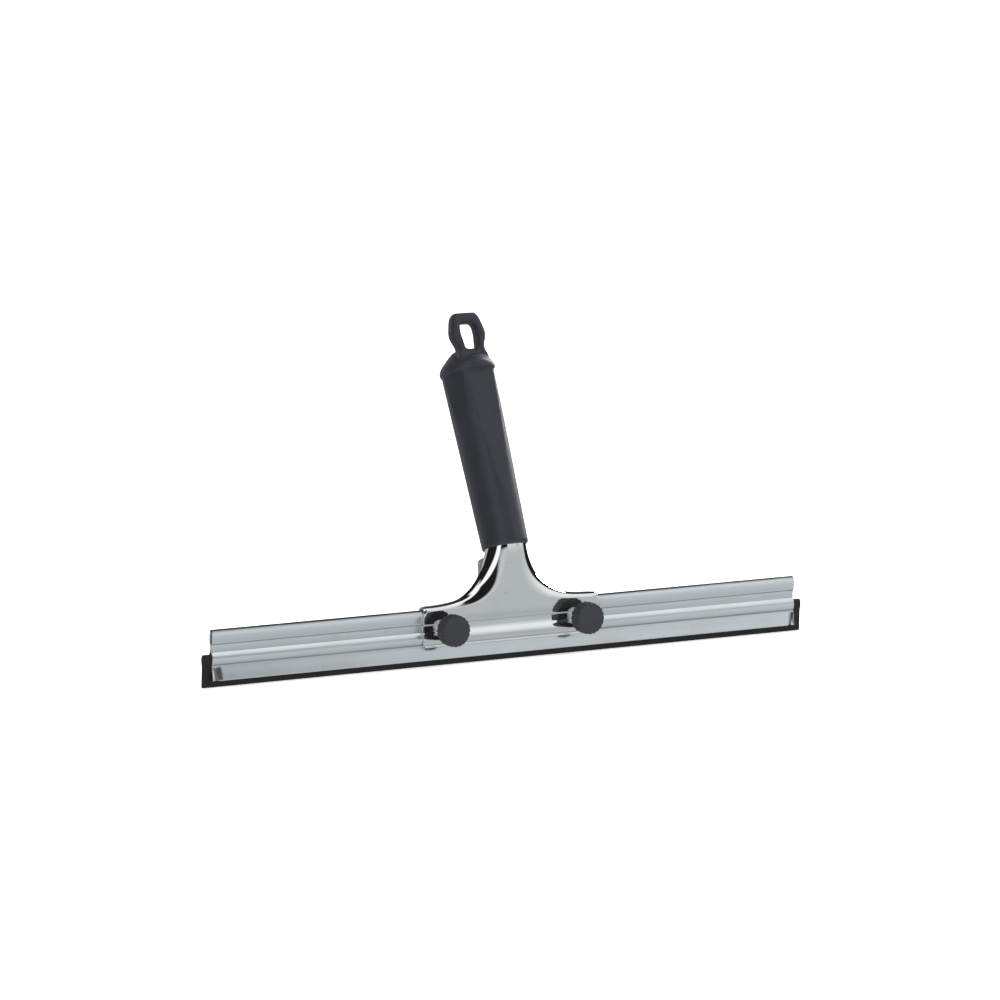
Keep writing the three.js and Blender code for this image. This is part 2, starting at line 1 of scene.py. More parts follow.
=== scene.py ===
# %% [markdown]
# # Window cleaning squeegee
# A rubber blade sits in a folded steel channel. Two pressed jaws clamp the channel between them,
# two knob screws pull the jaws together, and the front jaw's neck runs up into a raked grip.
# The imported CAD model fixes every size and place. Blender's job here is the looks: smooth pressed
# metal, soft moulded rubber, and finishes with grain and wear.

# %% Load the frame
import math

import bpy
from mathutils import Matrix, Vector


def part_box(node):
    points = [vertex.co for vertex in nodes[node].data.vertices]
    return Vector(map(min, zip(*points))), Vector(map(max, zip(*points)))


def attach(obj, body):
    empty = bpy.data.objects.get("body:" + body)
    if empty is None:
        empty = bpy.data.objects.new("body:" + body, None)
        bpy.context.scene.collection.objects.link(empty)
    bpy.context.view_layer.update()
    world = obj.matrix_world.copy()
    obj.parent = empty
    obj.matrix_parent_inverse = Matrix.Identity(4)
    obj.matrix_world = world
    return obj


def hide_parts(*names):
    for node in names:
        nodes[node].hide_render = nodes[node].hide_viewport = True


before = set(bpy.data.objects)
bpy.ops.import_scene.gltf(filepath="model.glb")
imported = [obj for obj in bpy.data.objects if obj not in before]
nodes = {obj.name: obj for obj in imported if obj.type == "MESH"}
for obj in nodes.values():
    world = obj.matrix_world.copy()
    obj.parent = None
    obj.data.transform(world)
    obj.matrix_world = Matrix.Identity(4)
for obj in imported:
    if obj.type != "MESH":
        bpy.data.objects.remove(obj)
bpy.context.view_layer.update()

# %% [markdown]
# ## The camera
# A camera far away with a long lens keeps the blade's two edges almost parallel. The view comes
# from the left and a little above, and the camera is turned by a degree, as if held by hand. Aiming
# beside the middle of the tool places it in the picture without any lens shift.

# %% Camera
MM = 0.001
AZIMUTH = math.radians(-32.5)
ELEVATION = math.radians(9.5)
ROLL = math.radians(1.2)
DISTANCE = 4.5
LENS = 254.8
AIM = Vector((0, 0, 0.090))
ASIDE = -7.0 * MM
ALOFT = 12.1 * MM

towards_camera = Vector((
    math.sin(AZIMUTH) * math.cos(ELEVATION),
    -math.cos(AZIMUTH) * math.cos(ELEVATION),
    math.sin(ELEVATION),
))
level_right = Vector((math.cos(AZIMUTH), math.sin(AZIMUTH), 0))
level_up = towards_camera.cross(level_right)
camera_right = math.cos(ROLL) * level_right + math.sin(ROLL) * level_up
camera_up = math.cos(ROLL) * level_up - math.sin(ROLL) * level_right
camera_place = AIM + ASIDE * camera_right + ALOFT * camera_up + DISTANCE * towards_camera

camera_data = bpy.data.cameras.new("camera")
camera_data.lens = LENS
camera_data.clip_end = 100
camera = bpy.data.objects.new("camera", camera_data)
turn = Matrix((camera_right, camera_up, towards_camera)).transposed().to_4x4()
camera.matrix_world = Matrix.Translation(camera_place) @ turn
bpy.context.scene.collection.objects.link(camera)
bpy.context.scene.camera = camera
print("camera at", [round(v, 3) for v in camera_place])

# %% [markdown]
# ## Working sizes
# The frame gives the boxes of the CAD nodes, so the main sizes are measured from it. The folded
# section and the jaws' outlines are given as tables, written in millimetres.

# %% Sizes from the frame
blade_low, blade_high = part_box("blade")
channel_low, channel_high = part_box("channel")
jaw_low, jaw_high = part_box("front_jaw")
knob_low, knob_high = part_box("knob_left")
collar_low, collar_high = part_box("collar_left")
nut_low, nut_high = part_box("nut_left")
screw_low, screw_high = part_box("screw_left")

TOP = channel_high[2] / MM
CHANNEL_HALF = channel_high[0] / MM
JAW_HALF_WIDTH = jaw_high[0] / MM
SCREW_X = -(knob_low[0] + knob_high[0]) / 2 / MM
SCREW_Z = (knob_low[2] + knob_high[2]) / 2 / MM
SHEET = 0.7
JAW_SHEET = 1.3
FIT = 0.3
print("channel top", round(TOP, 2), "mm, screws at", round(SCREW_X, 2), round(SCREW_Z, 2), "mm")

# %% [markdown]
# ## Working by hand, in code
# Blender's operators act on whatever is selected, so every step first lets go of everything, then
# picks what it needs. These helpers do that: they add a primitive, pick parts of it by place, and
# apply a modifier once it has done its work.

# %% Helpers for modelling
def let_go():
    if bpy.context.mode != "OBJECT":
        bpy.ops.object.mode_set(mode="OBJECT")
    bpy.ops.object.select_all(action="DESELECT")


def pick(piece):
    let_go()
    piece.select_set(True)
    bpy.context.view_layer.objects.active = piece


def name_new(name):
    piece = bpy.context.active_object
    piece.name = name
    piece.data.name = name
    return piece


def set_place(piece):
    """The piece's place, turn and scale go into its mesh."""
    pick(piece)
    bpy.ops.object.transform_apply(location=True, rotation=True, scale=True)


def finish_with(piece, kind, **settings):
    """Adds a modifier, sets it and applies it."""
    pick(piece)
    modifier = piece.modifiers.new(kind.lower(), kind)
    for key, value in settings.items():
        setattr(modifier, key, value)
    bpy.ops.object.modifier_apply(modifier=modifier.name)


def select_where(piece, kind, test):
    """Selects the faces, edges or vertices whose centre passes the test, ready for an operator."""
    pick(piece)
    bpy.ops.object.mode_set(mode="EDIT")
    bpy.ops.mesh.select_mode(type=kind)
    bpy.ops.mesh.select_all(action="DESELECT")
    bpy.ops.object.mode_set(mode="OBJECT")
    mesh = piece.data
    if kind == "VERT":
        for vertex in mesh.vertices:
            vertex.select = test(vertex.co, vertex)
    elif kind == "EDGE":
        for edge in mesh.edges:
            ends = [mesh.vertices[i].co for i in edge.vertices]
            edge.select = test((ends[0] + ends[1]) / 2, ends[1] - ends[0])
    else:
        for face in mesh.polygons:
            face.select = test(face.center, face.normal)
    bpy.ops.object.mode_set(mode="EDIT")


def smooth(piece, degrees=40):
    pick(piece)
    bpy.ops.object.shade_smooth_by_angle(angle=math.radians(degrees))


def tidy_normals(piece):
    pick(piece)
    bpy.ops.object.mode_set(mode="EDIT")
    bpy.ops.mesh.select_all(action="SELECT")
    bpy.ops.mesh.remove_doubles(threshold=1e-6)
    bpy.ops.mesh.normals_make_consistent(inside=False)
    let_go()


def close_ends(piece):
    """Welds the seam of a rolled-up grid and fills the holes at its ends."""
    pick(piece)
    bpy.ops.object.mode_set(mode="EDIT")
    bpy.ops.mesh.select_mode(type="VERT")
    bpy.ops.mesh.select_all(action="SELECT")
    bpy.ops.mesh.remove_doubles(threshold=1e-6)
    bpy.ops.mesh.fill_holes(sides=0)
    bpy.ops.mesh.select_all(action="SELECT")
    bpy.ops.mesh.normals_make_consistent(inside=False)
    let_go()


def bore(piece, x, radius, y_from, y_to, reach=0.0, z=None):
    """Cuts a round hole, or a slot that reaches sideways, along Y."""
    let_go()
    height = SCREW_Z if z is None else z
    bpy.ops.mesh.primitive_cylinder_add(
        vertices=48,
        radius=radius * MM,
        depth=(y_to - y_from) * MM,
        location=(x * MM, (y_from + y_to) / 2 * MM, height * MM),
        rotation=(math.pi / 2, 0, 0),
    )
    cutter = name_new("cutter")
    set_place(cutter)
    if reach:
        for side in (-1, 1):
            select_where(cutter, "VERT", lambda co, v: side * (co.x - x * MM) > 1e-6)
            bpy.ops.transform.translate(value=(side * reach * MM, 0, 0))
            let_go()
    finish_with(piece, "BOOLEAN", object=cutter, operation="DIFFERENCE", solver="EXACT")
    bpy.data.objects.remove(cutter)


# %% [markdown]
# ## Sheet metal
# Pressed sheet is one thickness all over and only its shape changes, so each sheet starts as a flat
# grid, as the blank does at the press. Every crossing of the grid is moved to its place on the
# pressed form, Solidify gives the sheet its thickness, and a subdivision surface rounds the bends
# and the cut edges as the press does.

# %% A pressed sheet
def pressed_sheet(name, rows, columns, place, thickness, levels=2):
    let_go()
    bpy.ops.mesh.primitive_grid_add(x_subdivisions=columns - 1, y_subdivisions=rows - 1, size=2)
    sheet = name_new(name)
    for vertex in sheet.data.vertices:
        column = round((vertex.co.x + 1) / 2 * (columns - 1))
        row = round((vertex.co.y + 1) / 2 * (rows - 1))
        vertex.co = Vector(place(row, column)) * MM
    tidy_normals(sheet)
    finish_with(sheet, "SOLIDIFY", thickness=thickness * MM, offset=0, use_even_offset=True)
    tidy_normals(sheet)
    finish_with(sheet, "SUBSURF", levels=levels, render_levels=levels)
    smooth(sheet, 60)
    print(name, len(sheet.data.polygons), "faces")
    return sheet


def table_value(table, x):
    if x <= table[0][0]:
        return table[0][1]
    for (x0, y0), (x1, y1) in zip(table, table[1:]):
        if x <= x1:
            return y0 + (y1 - y0) * (x - x0) / (x1 - x0)
    return table[-1][1]


# %% [markdown]
# ## The channel
# One strip of zinc-coated steel is folded over at the top. The two walls bulge apart, meet at a
# waist, bulge again round the rubber's bead, and flare into a lip. Near each end a punch has
# pinched the lip in to hold the rubber. The fold is drawn as the middle line of the sheet, from
# the front lip over the top to the back lip.

# %% Channel
# Half thickness over the outside, in mm, against depth below the top.
PROFILE = [
    (0.0, 0.45), (0.25, 1.05), (0.8, 1.55), (2.0, 1.95), (4.4, 2.1), (7.4, 2.0), (8.8, 1.75),
    (9.8, 0.95), (13.6, 0.95), (14.6, 1.3), (15.4, 1.8), (16.4, 2.3), (17.4, 2.6), (18.6, 2.8),
    (19.6, 2.8), (20.6, 2.55), (21.7, 2.08), (22.6, 1.95), (23.6, 2.1), (26.4, 2.8), (29.8, 3.55),
    (32.5, 4.0),
]
BULGE_FROM = 4.4
LIP_FROM = 22.6
LIP_TO = 32.5
PINCH = [(0, 0.2), (0.9, 0.5), (1.8, 1.15), (2.8, 1.25), (4.0, 0.75), (5.2, 0.2), (6.4, 0)]


def channel_half(z):
    return table_value(PROFILE, TOP - z)


fold_depths = [0.9, 1.4, 2.2, 3.2, 4.6, 6.0, 7.4, 8.4, 8.9, 9.3, 9.7, 10.2, 11.8, 13.4, 13.9, 14.4]
fold_depths += [14.9, 15.4, 16.0, 16.8, 17.8, 19.0, 20.2, 21.2, 21.9, 22.4, 23.0, 24.2, 26.4, 29.2]
fold_depths += [31.6, 32.3]
front_wall = [(-1, depth) for depth in reversed(fold_depths)]
fold_over = [(-0.45, 0.42), (0, 0.35), (0.45, 0.42)]
back_wall = [(1, depth) for depth in fold_depths]
fold_line = front_wall + fold_over + back_wall

end_steps = [0.15, 0.7, 1.3, 1.9, 2.5, 3.2, 3.9, 4.7, 5.6, 6.6, 8.0, 10.5]
half_stations = [CHANNEL_HALF - step for step in end_steps]
middle_count = 18
inner_end = half_stations[-1] - 14
middle_stations = [inner_end * (1 - 2 * i / (middle_count - 1)) for i in range(middle_count)]
channel_stations = half_stations + middle_stations + [-x for x in reversed(half_stations)]


def channel_point(row, column):
    x = channel_stations[row]
    wall, depth = fold_line[column]
    half = table_value(PROFILE, depth) - SHEET / 2
    if abs(wall) < 1:
        half = 1.0
    lip = max(0, (depth - LIP_FROM) / (LIP_TO - LIP_FROM))
    half -= table_value(PINCH, CHANNEL_HALF - abs(x)) * lip
    return x, wall * half, TOP - depth


channel = pressed_sheet(
    "channel_shell", len(channel_stations), len(fold_line), channel_point, SHEET
)
SLOT_REACH = 8.5
HOLE_R = 2.95
for side in (-1, 1):
    bore(channel, side * SCREW_X, HOLE_R, -6, 6, reach=SLOT_REACH)
smooth(channel, 60)

# %% [markdown]
# ## The jaws
# The front jaw is a flat blank pressed over a form: its foot takes the channel's ribs, its face
# stands up from there, and its whole edge is rolled back, tightly along the wings and wide round
# the neck. Each row of the grid runs from the middle of the face out to the edge, over the roll and
# down the flange. A row is given by the edge point it ends at, the roll's radius and angle there,
# the flange's length, and where needed the way the edge faces and how soft its roll is.

# %% Jaw rows
INSIDE = 8
AROUND = 8
ROW_BOW = 0.04


def jaw_row(w, z, roll, angle, flange, heading, soft):
    """A row's points as (x, z, depth behind the face). A soft roll is wider than it is deep."""
    nx, nz = -math.cos(heading), -math.sin(heading)
    reach = soft * roll * math.sin(angle) + flange * math.cos(angle)
    qx, qz = w + nx * reach, z + nz * reach
    bow = ROW_BOW * (JAW_HALF_WIDTH - w)
    depth = JAW_SHEET / 2
    half = []
    for j in range(INSIDE + 1):
        s = math.sin(j / INSIDE * math.pi / 2)
        half.append((qx * s, qz + bow * (1 - s * s), depth))
    for j in range(1, AROUND + 1):
        a = angle * j / AROUND
        out = (soft * roll - depth) * math.sin(a)
        half.append((qx - nx * out, qz - nz * out, roll - (roll - depth) * math.cos(a)))
    x1, z1, d1 = half[-1]
    for share in (0.5, 1):
        out = share * flange * math.cos(angle)
        half.append((x1 - nx * out, z1 - nz * out, d1 + share * flange * math.sin(angle)))
    return [(-x, z, d) for x, z, d in reversed(half[1:])] + half


def jaw_rows(outline):
    rows = []
    for i, (w, z, roll, angle, flange, *given) in enumerate(outline):
        soft = given[1] if len(given) > 1 else 1
        w0, z0 = outline[max(0, i - 1)][:2]
        w1, z1 = outline[min(len(outline) - 1, i + 1)][:2]
        heading = math.atan2(w0 - w1, z1 - z0)
        if given and given[0] is not None:
            heading = math.radians(given[0])
        rows.append(jaw_row(w, z, roll, math.radians(angle), flange, heading, soft))
    return rows


def ribbed_face(z):
    return channel_half(min(z, TOP - BULGE_FROM)) + FIT + JAW_SHEET


def make_jaw(name, outline, face, slope, side):
    rows = jaw_rows(outline)

    def place(row, column):
        x, z, depth = rows[row][column]
        a = slope(z)
        return x, side * (face(z) + depth * math.cos(a)), z - depth * math.sin(a)

    jaw = pressed_sheet(name, len(rows), len(rows[0]), place, JAW_SHEET)
    for screw_x in (-SCREW_X, SCREW_X):
        bore(jaw, screw_x, HOLE_R, -12, 12)
    smooth(jaw, 50)
    return jaw


RIB_LEVELS = [24.2, 23.6, 22.6, 21.5, 20.4, 18.4, 17.2, 16.3, 15.6, 15.0, 14.4, 13.8, 12.6, 11]
RIB_LEVELS += [10, 9.4, 8.8, 8.0, 6.6, 4.4]

# %% [markdown]
# The front jaw's face bends back near the grip's mouth, to run up inside the grip at its rake.

# %% Front jaw
LEAN = math.radians(25)
MOUTH_Y = 5.7
MOUTH_Z = 70.5
TANG_OFFSET = 10.5
TANG_END = 34
FACE_Y = -ribbed_face(TOP)
TANG_Y = MOUTH_Y - TANG_OFFSET * math.cos(LEAN)
TANG_Z = MOUTH_Z + TANG_OFFSET * math.sin(LEAN)
MEET_Z = TANG_Z + (FACE_Y - TANG_Y) / math.tan(LEAN)
BEND = 7


def front_slope(z):
    return LEAN * min(1, max(0, (z - MEET_Z + BEND / 2) / BEND))


def front_face(z):
    if z < TOP:
        return -ribbed_face(z)
    along = min(BEND, max(0, z - MEET_Z + BEND / 2))
    bent = -BEND / LEAN * math.log(math.cos(LEAN * along / BEND))
    straight = max(0, z - MEET_Z - BEND / 2)
    return FACE_Y + bent + straight * math.tan(LEAN)


W = JAW_HALF_WIDTH
front_outline = [(W, TOP - depth, 24, 3, 0.6) for depth in RIB_LEVELS]
front_outline += [
    (W, TOP - 2.6, 24, 6, 0.6), (W, TOP - 1.5, 24, 6, 0.6), (W, TOP + 0.3, 4, 40, 0.6, 30),
    (W - 0.8, TOP + 1.76, 3, 76, 0.6, 62), (W - 2.8, TOP + 2.1, 3, 90, 0.6, 80),
    (W - 7, TOP + 2.15, 3, 90, 0.6, 78), (W - 13, TOP + 2.4, 3.1, 90, 0.5, 77),
    (W - 19.5, TOP + 2.9, 3.4, 90, 0.5, 76), (W - 25.5, TOP + 3.95, 4, 90, 0.5, None, 1.05),
    (W - 31.2, TOP + 5.9, 5, 90, 0.5, None, 1.15), (W - 36.4, TOP + 8.9, 6.2, 90, 0.5, None, 1.3),
    (W - 41.2, TOP + 12.9, 7.2, 90, 0.5, None, 1.45), (W - 45.1, TOP + 17.7, 8, 90, 0.8, None, 1.5),
    (W - 48, TOP + 23.1, 8.6, 90, 1.2, None, 1.4), (W - 50.4, TOP + 28.6, 8.8, 90, 2.2, None, 1.2),
    (W - 51.8, TOP + 33.7, 9, 90, 3, None, 1.08), (W - 52.7, TOP + 38.6, 9, 90, 3.6),
    (W - 53.6, TOP + 43.4, 8.4, 90, 3.6), (W - 54.8, TOP + 48.4, 7.6, 90, 3),
    (W - 55.4, TOP + 53.6, 7, 90, 3), (W - 55.6, TOP + 59.5, 7, 90, 3),
    (W - 55.6, TANG_Z + TANG_END * math.cos(LEAN), 7, 90, 3),
]
front_jaw = make_jaw("front_jaw_plate", front_outline, front_face, front_slope, 1)

# %% [markdown]
# The rear jaw has the same foot. Above the channel a plain strap leans back to the neck's flanges,
# and the jaw rocks on its top edge when the screws are undone.

# %% Rear jaw
STRAP_LEAN = math.radians(16)
STRAP_FROM = TOP + 1
STRAP_TOP = TOP + 29.5


def rear_slope(z):
    return -STRAP_LEAN * min(1, max(0, (z - STRAP_FROM) / 5))


def rear_face(z):
    if z < STRAP_FROM:
        return -ribbed_face(z)
    bend = min(z - STRAP_FROM, 5)
    straight = max(0, z - STRAP_FROM - 5)
    return FACE_Y - math.tan(STRAP_LEAN) * (bend * bend / 10 + straight)


rear_outline = [(W, TOP - depth, 18, 3, 0.6) for depth in RIB_LEVELS]
rear_outline += [
    (W, TOP - 3, 14, 8, 0.6), (W, TOP - 2, 14, 8, 0.6), (W - 0.2, TOP + 0.1, 14, 8, 0.6, 30),
    (W - 1.2, TOP + 1.3, 14, 8, 0.6, 60), (W - 3.4, TOP + 1.75, 14, 8, 0.6, 90),
    (W - 8, TOP + 1.85, 14, 8, 0.6, 90), (W - 14, TOP + 2.05, 14, 8, 0.6, 90),
    (W - 22, TOP + 2.7, 14, 8, 0.6, 82), (W - 29, TOP + 3.7, 12, 9, 0.6),
    (W - 35, TOP + 5.4, 10, 12, 0.6), (W - 40, TOP + 7.8, 8, 16, 0.6),
    (W - 43.6, TOP + 11, 6, 20, 0.6), (W - 45.8, TOP + 14.8, 6, 20, 0.6),
    (W - 46.7, TOP + 19, 6, 20, 0.6), (W - 46.9, STRAP_TOP - 5.4, 6, 20, 0.6),
    (W - 47.4, STRAP_TOP - 3.6, 5, 12, 0.3, 35), (W - 49, STRAP_TOP - 2.6, 4, 8, 0.3, 60),
    (W - 51.4, STRAP_TOP - 1.7, 4, 8, 0.3, 75), (W - 54, STRAP_TOP - 1, 4, 8, 0.3, 85),
]
rear_jaw = make_jaw("rear_jaw_plate", rear_outline, rear_face, rear_slope, -1)

# %% [markdown]
# ## The grip
# The grip is one moulding of soft rubber: a round mouth, flats that fade in above it, a bulged end,
# and an eye to hang it by. A sphere's rings give the sleeve and its end without a seam, a torus
# gives the eye, and a voxel remesh joins the two and leaves the soft inner corners of a mould.

# %% Grip frame
GRIP_AXIS = Vector((0, math.sin(LEAN), math.cos(LEAN)))
GRIP_FRONT = Vector((0, -math.cos(LEAN), math.sin(LEAN)))
MOUTH = Vector((0, MOUTH_Y, MOUTH_Z))


def on_grip(x, front, along):
    return (MOUTH + Vector((x, 0, 0)) + GRIP_FRONT * front + GRIP_AXIS * along) * MM


# %% Sleeve
SLEEVE_LENGTH = 115
SLEEVE = [
    (0, 13.6), (0.25, 14.3), (0.8, 14.85), (1.6, 15.1), (113, 17.2), (128, 17.2),
]
HEAD = [
    (0, 0), (114.8, 0), (115.6, 16.6), (116.4, 17.6), (117.4, 18.1), (118.8, 18.2), (120.2, 17.9),
    (122.2, 16.6), (124.6, 14.4), (127, 12), (129.2, 9.6), (131, 7.2), (132, 4), (132.4, 0),
]
FLATS = [
    (0, 13.4), (72, 15.2), (131, 16.8), (180, 13.8), (229, 16.8), (288, 15.2),
]
FLAT_FADE = 3.2
HEAD_END = HEAD[-1][0]
SHOULDER = 120.2
SHOULDER_DROP = 4.2


def sleeve_radius(angle, along):
    radius = table_value(SLEEVE, along)
    fade = FLAT_FADE * (1 - (along + 1) / (SLEEVE_LENGTH + 7))
    for direction, flat in FLATS:
        facing = math.cos(angle - math.radians(direction))
        if facing > 0.3:
            radius = min(radius, (flat + fade) / facing)
    step = SHOULDER - SHOULDER_DROP * max(0, (radius - 13.8) / 3.4)
    return radius if along < step else 0


def grip_radius(angle, along):
    sleeve = sleeve_radius(angle, along)
    head = table_value(HEAD, along)
    return max(sleeve, head)


let_go()
RINGS = 140
bpy.ops.mesh.primitive_uv_sphere_add(segments=112, ring_count=RINGS, radius=1)
grip = name_new("grip_moulding")
for vertex in grip.data.vertices:
    share = math.acos(max(-1, min(1, -vertex.co.z))) / math.pi
    flat = math.hypot(vertex.co.x, vertex.co.y)
    ring = round(share * RINGS)
    if ring in (0, RINGS):
        vertex.co = on_grip(0, 0, 0 if ring == 0 else HEAD_END)
        continue
    angle = math.atan2(vertex.co.x, -vertex.co.y)
    along = 0 if ring == 1 else HEAD_END * ((ring - 2) / (RINGS - 2)) ** 0.92
    radius = 8 if ring == 1 else grip_radius(angle, along)
    radius = max(radius, 0.2)
    vertex.co = on_grip(radius * math.sin(angle), radius * math.cos(angle), along)
tidy_normals(grip)

# %% Eye
EYE_OFFSET = 8.5
EYE_HALF_THICK = 4.5
EYE_TOP = 154
EYE_MIDDLE = 138.6
EYE_EDGE = [
    (112, 11.8), (123, 11.6), (125, 10.9), (127, 9.8), (129, 9.4), (131, 9.5), (133.5, 10.4),
    (136.5, 11.8), (139, 12.4), (142, 12.4), (146, 11.3), (150, 10.1), (152, 9.3), (154, 7.4),
]
HOLE_HALF = (5.6, 8.4)


def eye_outer(turn_angle):
    """Walks out from the hole's middle to the edge of the tab."""
    sx, st = math.sin(turn_angle), math.cos(turn_angle)
    reach = 5.0
    while True:
        x, along = sx * reach, EYE_MIDDLE + st * reach
        inside = along < EYE_TOP and along > 117 and abs(x) < table_value(EYE_EDGE, along)
        if not inside:
            return reach
        reach += 0.1


def eye_inner(turn_angle):
    a, b = HOLE_HALF
    sx, st = abs(math.sin(turn_angle)), abs(math.cos(turn_angle))
    wide = a + 0.5 * math.cos(turn_angle)
    return ((sx / wide) ** 4 + (st / b) ** 4) ** -0.25


let_go()
bpy.ops.mesh.primitive_torus_add(
    major_segments=96, minor_segments=24, major_radius=1.0, minor_radius=0.25
)
eye = name_new("eye")
for vertex in eye.data.vertices:
    turn_angle = math.atan2(vertex.co.x, vertex.co.y)
    out = math.hypot(vertex.co.x, vertex.co.y) - 1
    minor = math.atan2(vertex.co.z, out)
    c, s = math.cos(minor), math.sin(minor)
    boxed = (abs(c) ** 3.2 + abs(s) ** 3.2) ** (-1 / 3.2)
    across, through = c * boxed, s * boxed
    inner, outer = eye_inner(turn_angle), eye_outer(turn_angle)
    reach = (inner + outer) / 2 + across * (outer - inner) / 2
    x = reach * math.sin(turn_angle)
    along = EYE_MIDDLE + reach * math.cos(turn_angle)
    vertex.co = on_grip(x, EYE_OFFSET + through * EYE_HALF_THICK, along)
tidy_normals(eye)

# %% Join the grip and the eye
pick(grip)
eye.select_set(True)
bpy.ops.object.join()
finish_with(grip, "REMESH", mode="VOXEL", voxel_size=0.5 * MM, use_smooth_shade=True)
finish_with(grip, "SMOOTH", factor=0.5, iterations=4)
smooth(grip, 80)
print("grip:", len(grip.data.polygons), "faces")

# %% [markdown]
# ## Knobs
# A knob is a moulded puck with a soft scalloped rim for the fingers. One round disc is made with
# eight sides to a lobe, its rim points are drawn in between the lobes, a small bevel rounds both
# edges, and a narrow ring inside the bevel keeps the faces flat.

# %% Knob
KNOB_R = (knob_high[2] - knob_low[2]) / 2 / MM
KNOB_LOBES = 20
LOBE_DEPTH = 0.45
KNOB_FRONT = knob_low[1] / MM
KNOB_BACK = knob_high[1] / MM


def make_knob(side):
    let_go()
    middle = (KNOB_FRONT + KNOB_BACK) / 2
    bpy.ops.mesh.primitive_cylinder_add(
        vertices=KNOB_LOBES * 8,
        radius=KNOB_R * MM,
        depth=(KNOB_BACK - KNOB_FRONT) * MM,
        location=(side * SCREW_X * MM, middle * MM, SCREW_Z * MM),
        rotation=(math.pi / 2, 0, 0),
    )
    knob = name_new("knob_cap_left" if side < 0 else "knob_cap_right")
    set_place(knob)
    for vertex in knob.data.vertices:
        x, z = vertex.co.x - side * SCREW_X * MM, vertex.co.z - SCREW_Z * MM
        valley = 0.5 - 0.5 * math.cos(KNOB_LOBES * math.atan2(z, x))
        draw_in = 1 - LOBE_DEPTH / KNOB_R * valley
        vertex.co.x, vertex.co.z = side * SCREW_X * MM + x * draw_in, SCREW_Z * MM + z * draw_in
    finish_with(
        knob, "BEVEL", width=0.55 * MM, segments=4, limit_method="ANGLE",
        angle_limit=math.radians(50),
    )
    select_where(knob, "FACE", lambda co, n: abs(n.y) > 0.999)
    bpy.ops.mesh.inset(thickness=0.3 * MM, depth=0)
    bpy.ops.mesh.poke()
    let_go()
    tidy_normals(knob)
    smooth(knob, 40)
    return knob


knobs = {side: make_knob(side) for side in (-1, 1)}

# %% [markdown]
# ## Collars
# A bright turned collar keeps each knob off the jaw, so that the knob turns freely. It is turned
# from bar: a plain tube with broken edges.

# %% Collar
COLLAR_R = (collar_high[2] - collar_low[2]) / 2 / MM
COLLAR_FRONT = collar_low[1] / MM
COLLAR_BACK = collar_high[1] / MM


def make_collar(side):
    let_go()
    bpy.ops.mesh.primitive_cylinder_add(
        vertices=72,
        radius=COLLAR_R * MM,
        depth=(COLLAR_BACK - COLLAR_FRONT) * MM,
        location=(side * SCREW_X * MM, (COLLAR_FRONT + COLLAR_BACK) / 2 * MM, SCREW_Z * MM),
        rotation=(math.pi / 2, 0, 0),
    )
    collar = name_new("collar_tube_left" if side < 0 else "collar_tube_right")
    set_place(collar)
    finish_with(
        collar, "BEVEL", width=0.35 * MM, segments=3, limit_method="ANGLE",
        angle_limit=math.radians(50),
    )
    bore(collar, side * SCREW_X, HOLE_R, -12, -2)
    tidy_normals(collar)
    smooth(collar, 40)
    return collar


collars = {side: make_collar(side) for side in (-1, 1)}

# %% [markdown]
# ## Screws and nuts
# The screws carry a rolled thread. A flat grid is rolled up into a tube with eight rings of points
# to a turn of the thread, and the points are drawn in along a helix, which reads as a thread and
# still closes at both ends.

# %% Screw
SCREW_R = 2.5
PITCH = 0.8
THREAD_DEPTH = 0.22
RINGS_PER_TURN = 8
SCREW_SIDES = 40
TIP_R = 1.9
HEAD_R = 2.3
SCREW_END = screw_high[1] / MM


def make_screw(side):
    let_go()
    start = screw_low[1] / MM
    length = SCREW_END - start
    rings = int(length / PITCH * RINGS_PER_TURN)
    bpy.ops.mesh.primitive_grid_add(x_subdivisions=SCREW_SIDES, y_subdivisions=rings, size=2)
    screw = name_new("screw_thread_left" if side < 0 else "screw_thread_right")
    for vertex in screw.data.vertices:
        angle = (vertex.co.x + 1) * math.pi
        y = start + (vertex.co.y + 1) / 2 * length
        wave = abs(((y / PITCH + angle / (2 * math.pi)) % 1) * 2 - 1)
        threaded = 1 if y > KNOB_BACK + 1 else 0
        radius = SCREW_R - 0.05 - THREAD_DEPTH * wave * threaded
        from_end = SCREW_END - y
        radius = min(radius, TIP_R + from_end)
        if y - start < 0.01:
            radius = min(radius, HEAD_R)
        vertex.co = Vector((
            side * SCREW_X + radius * math.cos(angle), y, SCREW_Z + radius * math.sin(angle)
        )) * MM
    close_ends(screw)
    smooth(screw, 50)
    return screw


# %% Nut
def make_nut(side):
    let_go()
    width = (nut_high[0] - nut_low[0]) / MM
    bpy.ops.mesh.primitive_cube_add(
        size=1,
        location=(side * SCREW_X * MM, (nut_low[1] + nut_high[1]) / 2, SCREW_Z * MM),
        scale=(width * MM, nut_high[1] - nut_low[1], width * MM),
    )
    nut = name_new("nut_block_left" if side < 0 else "nut_block_right")
    set_place(nut)
    finish_with(
        nut, "BEVEL", width=0.6 * MM, segments=3, limit_method="ANGLE", angle_limit=math.radians(50)
    )
    bore(nut, side * SCREW_X, HOLE_R, -4, 16)
    tidy_normals(nut)
    smooth(nut, 40)
    return nut


screws = {side: make_screw(side) for side in (-1, 1)}
nuts = {side: make_nut(side) for side in (-1, 1)}

# %% [markdown]
# ## The blade
# The rubber is an extruded strip: a round bead that the channel grips, a thin web through the waist
# and a plain strip below with two sharp wiping edges. Its section is drawn once and stretched
# along its length.

# %% Blade
BLADE_HALF = blade_high[0] / MM
BLADE_TOP = blade_high[2] / MM
BLADE_STATIONS = 120
